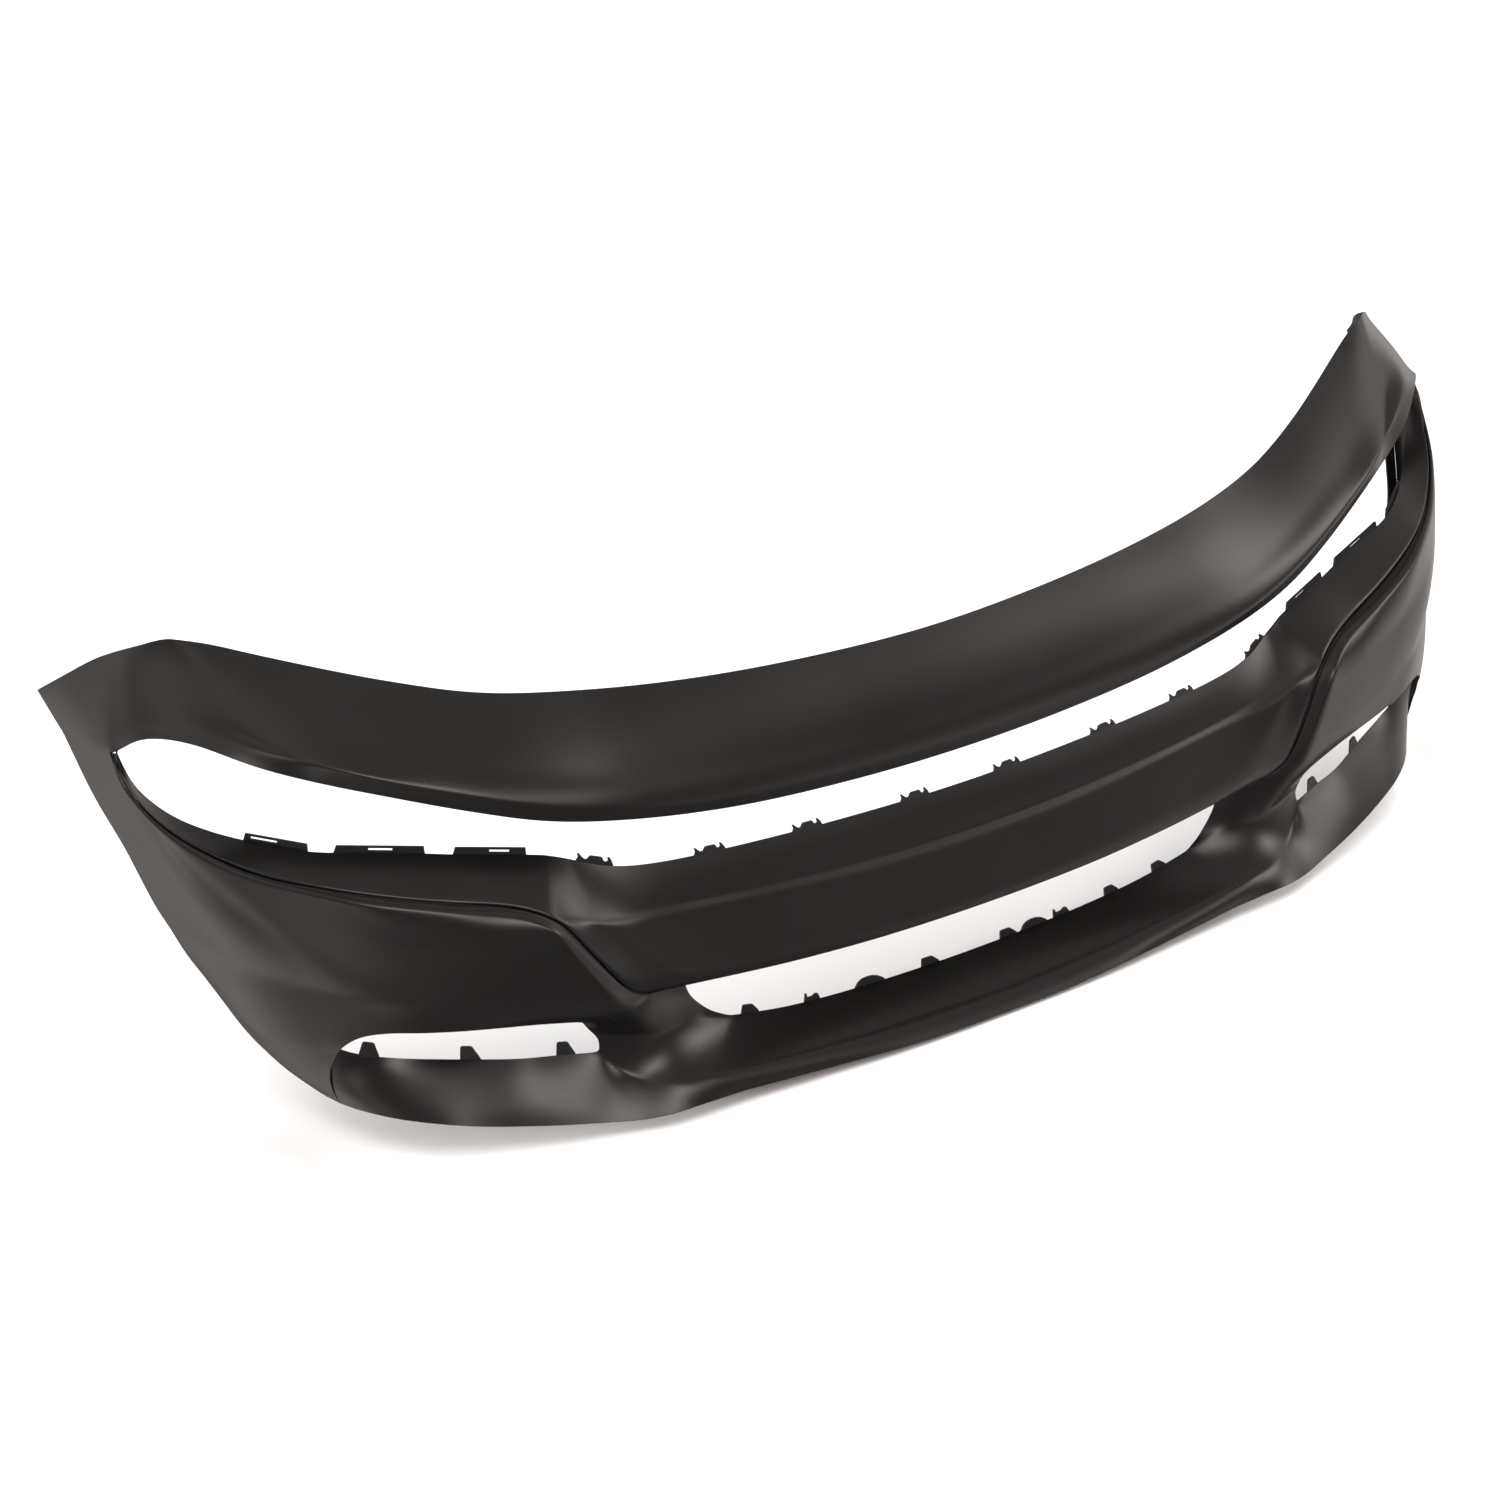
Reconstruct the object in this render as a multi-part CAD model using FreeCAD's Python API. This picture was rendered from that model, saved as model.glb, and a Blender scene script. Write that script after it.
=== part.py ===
"""Front bumper cover of a large sedan: one thin moulding, divided along its style lines.

Millimetres. +X is the cover's right-hand end seen from the front, the front faces -Y and
+Z is up. Every line below is drawn for the +X half and mirrored. The points of a line are
measured from the datum, which is the middle of the centre bar's top edge.
"""
import FreeCAD
import Part
import os

Vector = FreeCAD.Vector
os.makedirs("parts", exist_ok=True)

# ---- Driving dimensions --------------------------------------------------------------
WALL = 3.0                      # thickness of the moulding
DATUM_HEIGHT = 270.0            # datum above the undertray flange
DATUM_SETBACK = -172.3          # datum in front of the middle of the depth

# Flat mounting flanges: the upper one behind the hood edge, the lower one under the chin
UPPER_FLANGE_HALF_WIDTH = 190.0
UPPER_FLANGE_FRONT = 88.0
UPPER_FLANGE_DEPTH = 34.0
UPPER_FLANGE_TOP = 136.0
UPPER_HOLE_SPACING = 110.0
LOWER_FLANGE_HALF_WIDTH = 200.0
LOWER_FLANGE_FRONT = -78.0
LOWER_FLANGE_DEPTH = 36.0
LOWER_HOLE_SPACING = 120.0
FLANGE_HOLES = 4
FLANGE_HOLE_RADIUS = 4.2

# Moulded clips and tabs: the clip's outline is in millimetres from its middle, and the tabs'
# outlines are shares of their width and height
CLIP_CENTRES = [-466, -333, -209, -65, 65, 209, 333, 466]
CLIP_HALF_WIDTH = 21.0
CLIP_OUTLINE = [(-21, 0), (-19, 3.5), (-21, 8.5), (-18.5, 8), (-15, 4.5), (-12, 2.2), (-9.5, 2.2),
                (-8, 6), (-6.5, 7.5), (4.5, 7.5), (6, 6.5), (8, 3), (10, 2.2), (12, 3.5), (10.5, 8.5),
                (13, 8.2), (16, 4.5), (21, 0)]
TAB_THICKNESS = 2.5
TAB_ROOT = 5.0                  # how far a tab's foot goes down into the wall behind the edge
LAMP_TABS = [(761, 819, 789, 812), (641, 737, 676, 701), (536, 614, 555, 576)]
LAMP_TAB_HEIGHT = 8.0
LAMP_SLOT_HEIGHT = 3.6
FIN_OUTLINE = [(0, 0), (1.2, 0), (1.0, 0.2), (0.8, 0.6), (0.64, 0.94), (0.52, 1), (0.08, 1), (0, 0.88)]
SPIKE_OUTLINE = [(0, 0), (1.15, 0), (1.0, 0.25), (0.88, 0.68), (0.7, 0.74), (0.52, 0.46), (0.16, 0.42),
                 (0.1, 1), (0, 1)]
ROUND_OUTLINE = [(-0.05, 0), (1.2, 0), (1.0, 0.25), (0.82, 0.68), (0.62, 0.94), (0.45, 1), (0.25, 0.9),
                 (0.1, 0.55)]
FIN_TABS = [(-316, -295), (-69, -45), (45, 68), (201, 221), (275, 295)]
SPIKE_TABS = [(-233, -213), (124, 146)]
ROUND_TABS = [(-163, -124), (76, 112)]
GRILLE_TAB_HEIGHT = 10.0
FOG_TABS = [(530, 549), (630, 649), (733, 753)]
FOG_TAB_HEIGHT = 16.5

# ---- Style lines of the +X half, from the middle outwards -----------------------------
HOOD_EDGE = [(0, 75, 171.5), (150, 80, 175.5), (300, 92, 186), (430, 113, 200), (540, 150, 213),
             (630, 189, 237), (700, 226, 259), (765, 262, 281), (805, 281, 296), (826, 288, 302)]
BAND_FOLD = [(0, 3.4, 55), (150, 5.5, 58.5), (300, 10, 70), (430, 21, 91), (525, 44, 114),
             (606, 71, 141), (664, 96, 161), (720, 123, 183), (754, 149, 194)]
BAND_LOWER_EDGE = [(0, 7.4, 40), (150, 9.5, 43.5), (300, 15, 55), (430, 26, 75), (520, 46, 93),
                   (600, 74, 118), (680, 108, 146), (730, 131, 164), (760, 145, 176)]
CORNER_FOLD = [(826, 288, 302), (813, 258, 275), (804, 229, 248), (792, 197, 220), (776, 174, 206),
               (754, 149, 194)]
FENDER_TOP_EDGE = [(826, 288, 302), (838, 300, 301), (857, 317, 293), (892, 375, 262),
                   (923, 413, 232), (945, 446, 206)]
LAMP_UPPER_EDGE = [(760, 145, 176), (805, 169, 196), (845, 200, 217), (880, 235, 222),
                   (903, 262, 213), (915, 277, 198)]
LAMP_CORNER = [(915, 277, 198), (922, 285, 193)]
CORNER_LOWER_LINE = [(922, 285, 193), (930, 320, 186), (935, 358, 179), (938, 392, 173)]

BAR_TOP_EDGE = [(0, 2, -3), (150, 5.5, -1), (300, 13, 5), (400, 23, 11), (450, 34, 18), (490, 50, 32)]
SHOULDER_TOP_EDGE = [(490, 50, 32), (505, 55, 38), (520, 62, 42)]
LAMP_LOWER_EDGE = [(520, 62, 42), (568, 79, 51), (610, 92, 58), (654, 107, 67), (699, 121, 76),
                   (756, 140, 86), (800, 168, 96), (851, 216, 109), (880, 247, 125),
                   (903, 268, 155), (915, 277, 198)]
BAR_CREASE = [(0, -23, -53), (150, -20, -50), (300, -11, -41), (400, -1, -34), (450, 1, -29),
              (488, -1, -22)]
SHOULDER_FOOT = [(488, -1, -22), (515, 4, -10), (540, 0, 0)]
BAR_LOWER_EDGE = [(0, -65, -131), (150, -60, -131), (260, -49, -130), (330, -41, -127),
                  (400, -31, -124), (444, -25, -123)]
GROOVE_DIAGONAL = [(540, 0, 0), (534, -4, -5), (523, -9, -19), (506, -17, -47), (487, -24, -77),
                   (472, -28, -99), (460, -28, -112), (444, -25, -123)]
GROOVE = [(540, 0, 0), (561, 12, 12), (590, 26, 21), (629, 44, 28), (690, 65, 44),
          (748, 89, 61), (785, 109, 72), (819, 135, 81), (859, 173, 100), (888, 208, 120),
          (907, 242, 143), (917, 268, 171), (916, 277, 194)]
PANEL_EDGE = [(552, -15, -3), (569, -4, 7), (598, 10, 17), (660, 30, 35), (741, 62, 56),
              (785, 92, 68), (822, 122, 77), (852, 152, 88), (880, 186, 105), (898, 212, 121),
              (912, 240, 141), (921, 266, 166), (922, 285, 193)]
PANEL_EDGE_DIAGONAL = [(552, -15, -3), (543, -22, -14), (529, -27, -39), (506, -35, -82),
                       (493, -37, -106), (483, -35, -124)]

UPPER_CREASE = [(538, -24, -24), (607, -2, -17), (667, 21, -9), (740, 55, 4), (800, 92, 14),
                (830, 122, 22), (862, 156, 34), (888, 197, 54), (905, 250, 70), (921, 305, 80)]
LOWER_CREASE = [(503, -35, -88), (560, -21, -88), (613, -6, -85), (675, 15, -75), (740, 48, -64),
                (802, 100, -50), (846, 150, -40), (869, 200, -34), (882, 235, -30), (891, 262, -28)]
PILLAR_HEAD = [(483, -35, -124), (505, -28, -129), (525, -18, -134)]
FOG_UPPER_EDGE = [(525, -18, -134), (569, -7, -127), (613, 3, -121), (657, 12, -114),
                  (700, 24, -107), (735, 42, -105), (762, 60, -112), (777, 72, -127)]
PANEL_LOWER_LINE = [(777, 72, -127), (814, 108, -129), (842, 148, -125), (855, 193, -113),
                    (864, 244, -96)]
FENDER_SEAM = [(945, 446, 206), (941.5, 418, 189), (938, 392, 173)]
FENDER_SEAM_MIDDLE = [(938, 392, 173), (935, 353, 140), (928, 320, 102), (921, 305, 80)]
FENDER_SEAM_LOWER = [(921, 305, 80), (917, 297, 66), (908, 279, 27), (896, 267, -16), (891, 262, -28)]
WHEEL_ARCH_UPPER = [(891, 262, -28), (879, 252, -63), (864, 244, -96)]
WHEEL_ARCH = [(864, 244, -96), (851, 230, -126), (837, 216, -158), (823, 200, -182), (814, 192, -194)]

OPENING_SIDE = [(382, 1, -146), (378, 0, -160), (366, -2, -177), (350, -5, -192), (330, -9, -202)]
SHELF_BACK_EDGE = [(0, -14, -229), (100, -14, -227), (200, -14, -221), (270, -13, -213),
                   (330, -9, -202)]
SHELF_END = [(330, -9, -202), (346, -28, -214), (362, -50, -224), (385, -71, -230)]
PILLAR_TOP = [(382, 1, -146), (410, -12, -134), (444, -25, -123)]
GROOVE_FOOT = [(444, -25, -123), (462, -34, -126), (483, -35, -124)]
FOG_INNER_EDGE = [(525, -18, -134), (514, -9, -152), (502, -10, -172), (503, -13, -186)]
FOG_OUTER_EDGE = [(777, 72, -127), (779, 77, -134)]
LIP_RIDGE = [(0, -76, -248), (150, -75, -245), (300, -75, -237), (385, -71, -230)]
LIP_RIDGE_FOOT = [(385, -71, -230), (438, -59, -226), (465, -41, -221), (488, -24, -207),
                  (503, -13, -186)]
FOG_LOWER_EDGE = [(503, -13, -186), (543, 2, -183), (588, 14, -178), (627, 33, -175),
                  (666, 52, -171), (710, 69, -163), (746, 80, -152), (766, 83, -142), (776, 82, -134)]
LIP_LOWER_EDGE = [(0, -104, -264.5), (94, -103, -264), (167, -100, -261), (237, -94, -259),
                  (300, -89, -256), (355, -84, -254)]
LIP_LOWER_FOOT = [(355, -84, -254), (405, -83, -252), (445, -80, -252), (478, -71, -253), (512, -60, -250)]
LIP_LOWER_END = [(512, -60, -250), (558, -46, -244), (603, -30, -238), (648, -11, -232),
                 (691, 9, -224), (730, 37, -219), (763, 74, -216), (776, 96, -215)]
LIP_CORNER_FRONT = [(779, 77, -134), (785, 86, -155), (786, 92, -172), (784, 95, -193), (776, 96, -215)]
LIP_OUTER_EDGE = [(776, 82, -134), (782, 91, -155), (784, 96, -172), (783, 97, -193), (776, 96, -215)]
LIP_CORNER_EDGE = [(776, 96, -215), (787, 122, -213), (797, 150, -208), (808, 180, -200),
                   (814, 192, -194)]

# Free edges of the return flanges, and how far the other returns reach inwards
HOOD_FLANGE_EDGE = [(0, 88, 136), (120, 88, 136), (190, 89, 137), (240, 94, 153), (300, 101, 168),
                    (430, 121, 183), (540, 158, 196), (630, 195, 222), (712, 235, 246)]
HOOD_FLANGE_SPANS = 22
CHIN_RETURN_EDGE = [(0, -78, -267), (120, -78, -267), (200, -78, -266), (262, -75, -261),
                    (320, -69, -256), (352, -66, -253)]
BAR_RETURN = Vector(0, 16, -3)
SEAM_RETURN = Vector(-14, 2, 0)
ARCH_RETURN = Vector(-14, 3, 3)
SEAM_FLANGE_START = 3           # steps of the seam left without a flange at the ear's tip

# ---- Lines and faces -------------------------------------------------------------------


def spline(points, spans):
    """Points at equal steps along a smooth line through the given points."""
    knots = [Vector(*p) for p in points]
    before = knots[0] * 2 - knots[1]
    if knots[0].x == 0:
        before = Vector(-knots[1].x, knots[1].y, knots[1].z)
    padded = [before] + knots + [knots[-1] * 2 - knots[-2]]
    steps_per_knot = 24
    fine = []
    for a, b, c, d in zip(padded, padded[1:], padded[2:], padded[3:]):
        t1 = (b - a).Length ** 0.5
        t2 = t1 + (c - b).Length ** 0.5
        t3 = t2 + (d - c).Length ** 0.5
        for k in range(steps_per_knot):
            t = t1 + (t2 - t1) * k / steps_per_knot
            ab = a * ((t1 - t) / t1) + b * (t / t1)
            bc = b * ((t2 - t) / (t2 - t1)) + c * ((t - t1) / (t2 - t1))
            cd = c * ((t3 - t) / (t3 - t2)) + d * ((t - t2) / (t3 - t2))
            abc = ab * ((t2 - t) / t2) + bc * (t / t2)
            bcd = bc * ((t3 - t) / (t3 - t1)) + cd * ((t - t1) / (t3 - t1))
            fine.append(abc * ((t2 - t) / (t2 - t1)) + bcd * ((t - t1) / (t2 - t1)))
    fine.append(knots[-1])
    return even_steps(fine, spans)


def even_steps(line, spans):
    """The same line cut into equal lengths."""
    lengths = [0.0]
    for a, b in zip(line, line[1:]):
        lengths.append(lengths[-1] + (b - a).Length)
    result = []
    k = 0
    for s in range(spans + 1):
        target = lengths[-1] * s / spans
        while k < len(line) - 2 and lengths[k + 1] < target:
            k += 1
        share = (target - lengths[k]) / (lengths[k + 1] - lengths[k])
        result.append(line[k] + (line[k + 1] - line[k]) * share)
    return result


def joined(*lines):
    """Lines end to end, each starting where the last one stops."""
    result = list(lines[0])
    for line in lines[1:]:
        result += line[1:]
    return result


def mirrored(line):
    """The same line on the -X half, still running towards +X."""
    return [Vector(-p.x, p.y, p.z) for p in reversed(line)]


def across_middle(line):
    """The same line on the -X half, still running downwards."""
    return [Vector(-p.x, p.y, p.z) for p in line]


def full(line):
    """A line of the +X half that starts in the middle, drawn over the whole width."""
    return mirrored(line) + line[1:]


def face_between(top, bottom, left, right, crown=0.0, hold=1, roll=0.0):
    """A grid of points filling four lines; crown lifts its middle along the normal.

    The bow of the side lines dies away towards the middle, faster when hold is larger.
    Roll lifts the last row but one, so that the face turns over just before its lower line.
    """
    rows = len(left) - 1
    columns = len(top) - 1
    grid = []
    for i in range(rows + 1):
        v = i / rows
        row = []
        for j in range(columns + 1):
            u = j / columns
            left_bow = left[i] - top[0] * (1 - v) - bottom[0] * v
            right_bow = right[i] - top[-1] * (1 - v) - bottom[-1] * v
            down = top[j] * (1 - v) + bottom[j] * v
            row.append(down + left_bow * (1 - u) ** hold + right_bow * u ** hold)
        grid.append(row)
    if crown or roll:
        normals = grid_normals(grid)
        for i in range(1, rows):
            v = i / rows
            rise = crown * 4 * v * (1 - v)
            if i == rows - 1:
                rise += roll
            for j in range(1, columns):
                u = j / columns
                grid[i][j] = grid[i][j] + normals[i][j] * (rise * (1 - (2 * u - 1) ** 6))
    return grid


def grid_normals(grid):
    """Outward unit normals: rows run down the face and columns towards +X."""
    last_row = len(grid) - 1
    last_column = len(grid[0]) - 1
    normals = []
    for i in range(last_row + 1):
        row = []
        for j in range(last_column + 1):
            down = grid[min(i + 1, last_row)][j] - grid[max(i - 1, 0)][j]
            across = grid[i][min(j + 1, last_column)] - grid[i][max(j - 1, 0)]
            row.append(down.cross(across).normalize())
        normals.append(row)
    return normals


def mirrored_grid(grid):
    """The same face on the -X half."""
    return [mirrored(row) for row in grid]


# ---- The half's lines, cut into matching steps -----------------------------------------
hood = spline(HOOD_EDGE, 26)
fold = spline(BAND_FOLD, 26)
band_lower = spline(BAND_LOWER_EDGE, 26)
corner_fold = spline(CORNER_FOLD, 8)
fold_end = spline([fold[-1], band_lower[-1]], 2)
fender_top = spline(FENDER_TOP_EDGE, 15)
lamp_upper = spline(LAMP_UPPER_EDGE, 6)
lamp_corner = spline(LAMP_CORNER, 1)
corner_lower = spline(CORNER_LOWER_LINE, 8)

bar_top = spline(BAR_TOP_EDGE, 16)
bar_crease = spline(BAR_CREASE, 16)
shoulder_top = spline(SHOULDER_TOP_EDGE, 3)
shoulder_foot = spline(SHOULDER_FOOT, 3)
bar_lower = spline(BAR_LOWER_EDGE, 19)
lamp_lower = spline(LAMP_LOWER_EDGE, 24)
groove = spline(GROOVE, 24)
groove_diagonal = spline(GROOVE_DIAGONAL, 12)
panel_edge = spline(PANEL_EDGE, 24)
panel_diagonal = spline(PANEL_EDGE_DIAGONAL, 12)
groove_start = spline([groove[0], panel_edge[0]], 2)
groove_foot = spline(GROOVE_FOOT, 2)
groove_end = spline([groove[-1], panel_edge[-1]], 2)
ridge = spline([bar_top[-1], (489, 26, 6), bar_crease[-1]], 4)
valley = spline([shoulder_top[-1], (530, 33, 24), shoulder_foot[-1]], 4)
ledge_end = spline([lamp_lower[-1], groove[-1]], 4)

upper_crease = [panel_diagonal[3]] + spline(UPPER_CREASE, 32)[1:]
lower_crease = [panel_diagonal[8]] + spline(LOWER_CREASE, 32)[1:]
pillar_head = spline(PILLAR_HEAD, 3)
fog_upper = spline(FOG_UPPER_EDGE, 17)
panel_lower = spline(PANEL_LOWER_LINE, 12)
seam_top = spline(FENDER_SEAM, 10)
seam_middle = spline(FENDER_SEAM_MIDDLE, 3)
seam_lower = spline(FENDER_SEAM_LOWER, 5)
arch_upper = spline(WHEEL_ARCH_UPPER, 4)
arch = spline(WHEEL_ARCH, 8)

opening_side = spline(OPENING_SIDE, 6)
shelf_back = spline(SHELF_BACK_EDGE, 12)
shelf_end = spline(SHELF_END, 5)
pillar_top = spline(PILLAR_TOP, 4)
fog_inner = spline(FOG_INNER_EDGE, 11)
fog_outer = spline(FOG_OUTER_EDGE, 1)
lip_ridge = spline(LIP_RIDGE, 12)
lip_ridge_foot = spline(LIP_RIDGE_FOOT, 9)
fog_lower = spline(FOG_LOWER_EDGE, 16)
lip_lower = spline(LIP_LOWER_EDGE, 12)
lip_lower_foot = spline(LIP_LOWER_FOOT, 9)
lip_lower_end = spline(LIP_LOWER_END, 16)
lip_foot_end = spline([lip_ridge_foot[-1], (508, -34, -216), lip_lower_foot[-1]], 7)
corner_front = spline(LIP_CORNER_FRONT, 7)
lip_outer = spline(LIP_OUTER_EDGE, 7)
corner_edge = spline(LIP_CORNER_EDGE, 12)

# ---- The outer faces ---------------------------------------------------------------------
faces = {}


def add_full(name, grid):
    """A face over the whole width."""
    faces[name] = grid


def add_pair(name, grid):
    """A face of the +X half and its mirror image."""
    faces["right_" + name] = grid
    faces["left_" + name] = mirrored_grid(grid)


add_full("upper_band", face_between(full(hood), full(fold), across_middle(corner_fold), corner_fold,
                                    crown=7.0, hold=20, roll=2.0))
add_full("band_lower_return", face_between(full(fold), full(band_lower), across_middle(fold_end), fold_end))
add_pair("fender_corner", face_between(fender_top, joined(lamp_upper, lamp_corner, corner_lower),
                                       joined(corner_fold, fold_end), seam_top, crown=3.0, hold=4))
add_full("centre_bar_upper", face_between(full(bar_top), full(bar_crease), across_middle(ridge), ridge,
                                          crown=2.0, hold=3))
add_pair("bar_shoulder", face_between(shoulder_top, shoulder_foot, ridge, valley))
add_full("centre_bar_lower", face_between(full(joined(bar_crease, shoulder_foot)), full(bar_lower),
                                          across_middle(groove_diagonal), groove_diagonal, crown=-4.0))
add_pair("lamp_ledge", face_between(lamp_lower, groove, valley, ledge_end))
add_pair("lamp_step", face_between(groove, panel_edge, groove_start, groove_end))
add_pair("bar_end_step", face_between(groove_start, groove_foot, groove_diagonal, panel_diagonal))
add_pair("side_panel_upper", face_between(joined(panel_edge, corner_lower), upper_crease,
                                          panel_diagonal[:4], seam_middle, crown=2.0, hold=4))
add_pair("side_panel_middle", face_between(upper_crease, lower_crease, panel_diagonal[3:9], seam_lower,
                                           crown=2.2, hold=3))
add_pair("side_panel_lower", face_between(lower_crease, joined(pillar_head, fog_upper, panel_lower),
                                          panel_diagonal[8:], arch_upper, crown=1.2, hold=3))
add_pair("wheel_corner", face_between(panel_lower, corner_edge, joined(fog_outer, corner_front), arch))
add_pair("pillar", face_between(joined(pillar_top, groove_foot, pillar_head), lip_ridge_foot,
                                joined(opening_side, shelf_end), fog_inner))
add_full("chin_shelf", face_between(full(shelf_back), full(lip_ridge), across_middle(shelf_end), shelf_end,
                                    crown=-2.0, hold=5))
add_full("lip_face", face_between(full(joined(lip_ridge, lip_ridge_foot)),
                                  full(joined(lip_lower, lip_lower_foot)),
                                  across_middle(lip_foot_end), lip_foot_end, crown=3.0, hold=5))
add_pair("lip_end", face_between(fog_lower, lip_lower_end, lip_foot_end, lip_outer, crown=4.0))

# ---- The wall behind each outer face --------------------------------------------------------
NAME_PLACES = 1                 # decimals that tell one grid point from another
SHARPEST_MITRE = 0.55


def point_key(point):
    return tuple(round(value, NAME_PLACES) for value in point)


meeting_normals = {}
for grid in faces.values():
    for points, normals in zip(grid, grid_normals(grid)):
        for point, normal in zip(points, normals):
            meeting_normals.setdefault(point_key(point), []).append(normal)


def inner_point(point):
    """The matching point on the inside, mitred where faces meet."""
    normals = meeting_normals[point_key(point)]
    total = Vector(0, 0, 0)
    for normal in normals:
        total += normal
    total.normalize()
    spread = sum(total.dot(normal) for normal in normals) / len(normals)
    return point - total * (WALL / max(spread, SHARPEST_MITRE))


def surface(grid):
    """A smooth surface through every point of a grid."""
    result = Part.BSplineSurface()
    result.interpolate(grid)
    return result


def border(face_surface):
    """The four border lines of a surface, in the same order for both sides of a wall."""
    first_u, last_u, first_v, last_v = face_surface.bounds()
    return [face_surface.uIso(first_u), face_surface.uIso(last_u),
            face_surface.vIso(first_v), face_surface.vIso(last_v)]


def solid_between(outer_grid, inner_grid):
    """A closed solid between the outside and the inside of a wall."""
    outer = surface(outer_grid)
    inner = surface(inner_grid)
    sides = [outer.toShape(), inner.toShape()]
    for outer_line, inner_line in zip(border(outer), border(inner)):
        sides.append(Part.makeRuledSurface(outer_line.toShape(), inner_line.toShape()))
    shell = Part.Shell(sides)
    shell.sewShape()
    solid = Part.Solid(shell)
    if solid.Volume < 0:
        solid.reverse()
    return solid


def to_row_frame(shape):
    """Moves a shape so that Z starts at the undertray flange and Y at the middle of the depth."""
    shape.translate(Vector(0, DATUM_SETBACK, DATUM_HEIGHT))
    return shape


nodes = {}


def add_node(name, solids):
    """Keeps one named piece of one or more solids."""
    shape = solids[0] if len(solids) == 1 else Part.makeCompound(solids)
    nodes[name] = to_row_frame(shape)


for face_name, grid in faces.items():
    inner_grid = [[inner_point(point) for point in row] for row in grid]
    add_node(face_name, [solid_between(grid, inner_grid)])


# ---- Return flanges ----------------------------------------------------------------------------


def strip(line, back_line):
    """A grid of three rows from one line to another; both run towards +X."""
    middle = [(a + b) * 0.5 for a, b in zip(line, back_line)]
    return [line, middle, back_line]


def thick_strip(grid, thickness):
    """A wall of even thickness under a strip."""
    normals = grid_normals(grid)
    under = [[p - n * thickness for p, n in zip(row, row_normals)] for row, row_normals in zip(grid, normals)]
    return solid_between(grid, under)


def inside_edge(line):
    """The line on the inside of the wall behind an edge."""
    return [inner_point(point) for point in line]


def flange_behind(line, free_edge):
    """A flange from the inside of a top edge back to its free edge."""
    return thick_strip(strip(free_edge, inside_edge(line)), WALL)


hood_flange_edge = full(spline(HOOD_FLANGE_EDGE, HOOD_FLANGE_SPANS))
add_node("hood_edge_flange", [flange_behind(full(hood[:HOOD_FLANGE_SPANS + 1]), hood_flange_edge)])
chin_return_edge = full(spline(CHIN_RETURN_EDGE, 12))
add_node("chin_return", [thick_strip(strip(inside_edge(full(lip_lower)), chin_return_edge), WALL)])
bar_return_edge = [point + BAR_RETURN for point in inside_edge(full(bar_lower))]
add_node("centre_bar_return", [thick_strip(strip(inside_edge(full(bar_lower)), bar_return_edge), WALL)])

seam = joined(seam_top, seam_middle, seam_lower)[SEAM_FLANGE_START:]
seam_inside = inside_edge(seam)
seam_free_edge = [point + SEAM_RETURN for point in seam_inside]
arch_line = joined(arch_upper, arch)
arch_inside = inside_edge(arch_line)
arch_free_edge = [point + ARCH_RETURN for point in arch_inside]
for side, flip in (("right", 1), ("left", -1)):
    for flange_name, edge, free_edge in (("fender_flange", seam_inside, seam_free_edge),
                                         ("wheel_arch_flange", arch_inside, arch_free_edge)):
        first = [Vector(flip * p.x, p.y, p.z) for p in edge]
        second = [Vector(flip * p.x, p.y, p.z) for p in free_edge]
        add_node(side + "_" + flange_name, [thick_strip(strip(first, second), WALL)])


def flange_plate(half_width, front, depth, top, spacing):
    """A flat plate with a row of equal holes along X."""
    plate = Part.makeBox(2 * half_width, depth, WALL, Vector(-half_width, front, top - WALL))
    corners = [edge for edge in plate.Edges
               if abs(edge.BoundBox.ZLength - WALL) < 0.01 and edge.BoundBox.YMax > front + 1]
    plate = plate.makeFillet(depth / 3, corners)
    for k in range(FLANGE_HOLES):
        x = (k - (FLANGE_HOLES - 1) / 2) * spacing
        hole = Part.makeCylinder(FLANGE_HOLE_RADIUS, 3 * WALL, Vector(x, front + depth / 2, top - 2 * WALL))
        plate = plate.cut(hole)
    return plate


add_node("upper_mounting_flange", [flange_plate(UPPER_FLANGE_HALF_WIDTH, UPPER_FLANGE_FRONT,
                                                UPPER_FLANGE_DEPTH, UPPER_FLANGE_TOP, UPPER_HOLE_SPACING)])
add_node("undertray_flange", [flange_plate(LOWER_FLANGE_HALF_WIDTH, LOWER_FLANGE_FRONT,
                                           LOWER_FLANGE_DEPTH, WALL - DATUM_HEIGHT, LOWER_HOLE_SPACING)])


# ---- Moulded clips and tabs -----------------------------------------------------------------------
def point_at(line, x):
    """Where a line that runs towards +X crosses a plane of constant X."""
    for a, b in zip(line, line[1:]):
        if a.x <= x <= b.x:
            return a + (b - a) * ((x - a.x) / (b.x - a.x))
    raise ValueError("no point of the line at x = %g" % x)


def upright_plate(start, end, outline, window=None):
    """A plate rooted on the chord from start to end; outline is (share of chord, height)."""
    along = end - start
    length = along.Length
    along.normalize()
    up = Vector(0, 0, 1) - along * along.z
    up.normalize()
    back = along.cross(up)
    if back.y < 0:
        back = back * -1

    def plate(points):
        corners = [start + along * (length * share) + up * height for share, height in points]
        wire = Part.makePolygon(corners + corners[:1])
        return Part.Face(wire).extrude(back * TAB_THICKNESS)

    result = plate([(share, height if height > 0 else -TAB_ROOT) for share, height in outline])
    if window:
        result = result.cut(plate(window))
    return result


def grille_clip(line, centre):
    """Two hooks leaning the same way, with a flat tab between them, on one foot."""
    start = point_at(line, centre - CLIP_HALF_WIDTH)
    end = point_at(line, centre + CLIP_HALF_WIDTH)
    outline = [(x / (2 * CLIP_HALF_WIDTH) + 0.5, height) for x, height in CLIP_OUTLINE]
    return upright_plate(start, end, outline)


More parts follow.
